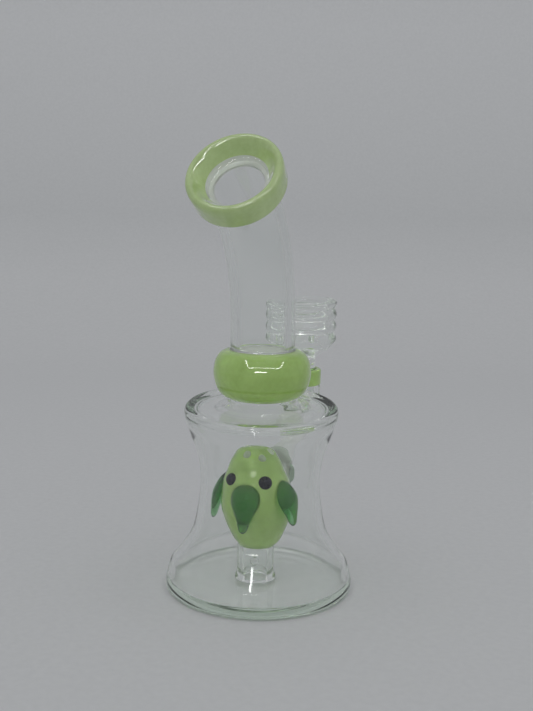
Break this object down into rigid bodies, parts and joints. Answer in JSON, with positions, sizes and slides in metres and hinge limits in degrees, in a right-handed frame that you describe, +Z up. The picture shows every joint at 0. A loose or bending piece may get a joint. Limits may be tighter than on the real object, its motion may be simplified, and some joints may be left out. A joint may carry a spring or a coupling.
{
  "type": "glass water pipe",
  "caption": "Small free-standing glass water pipe: waisted clear chamber, bird-shaped inner diffuser, bent neck with flared mouthpiece, and a lift-out ribbed bowl.",
  "frame": {"origin": "centre of the base's underside", "axes": "+Z up along the chamber's axis; -Y toward the bird's face and the mouthpiece; +Y toward the bowl's joint; +X to the right as the bird is faced"},
  "size_m": [0.085, 0.1236, 0.2023],
  "materials": {
    "clear_glass": "polished",
    "lime_glass": "polished, opaque",
    "lime_tint_glass": "polished, translucent",
    "green_glass": "polished, translucent",
    "black_glass": "polished, opaque"
  },
  "bodies": {
    "vessel": {"floor_disc": "clear_glass", "chamber_wall": "clear_glass", "shoulder_plate": "clear_glass", "neck_collar": "clear_glass", "donut_ring": "lime_glass", "neck_tube": "clear_glass", "mouthpiece_ring": "lime_tint_glass", "joint_tube": "clear_glass", "joint_collar": "lime_glass", "inlet_arm": "clear_glass", "inlet_stem": "clear_glass", "bird_shell": "lime_glass", "bird_beak": "green_glass", "bird_eye_left": "black_glass", "bird_eye_right": "black_glass", "wing_left": "green_glass", "wing_right": "green_glass", "bird_foot": "clear_glass"},
    "stem": {"bowl_stem": "clear_glass"},
    "bowl": {"bowl_cup": "clear_glass"}
  },
  "joints": [
    {"name": "bowl_lift", "type": "slide", "parent": "vessel", "child": "stem", "axis": [0, 0, 1], "range_m": [0, 0.03]},
    {"name": "bowl_spin", "type": "hinge", "parent": "stem", "child": "bowl", "pos_m": [0, 0.056, 0.1], "axis": [0, 0, 1], "continuous": true}
  ]
}
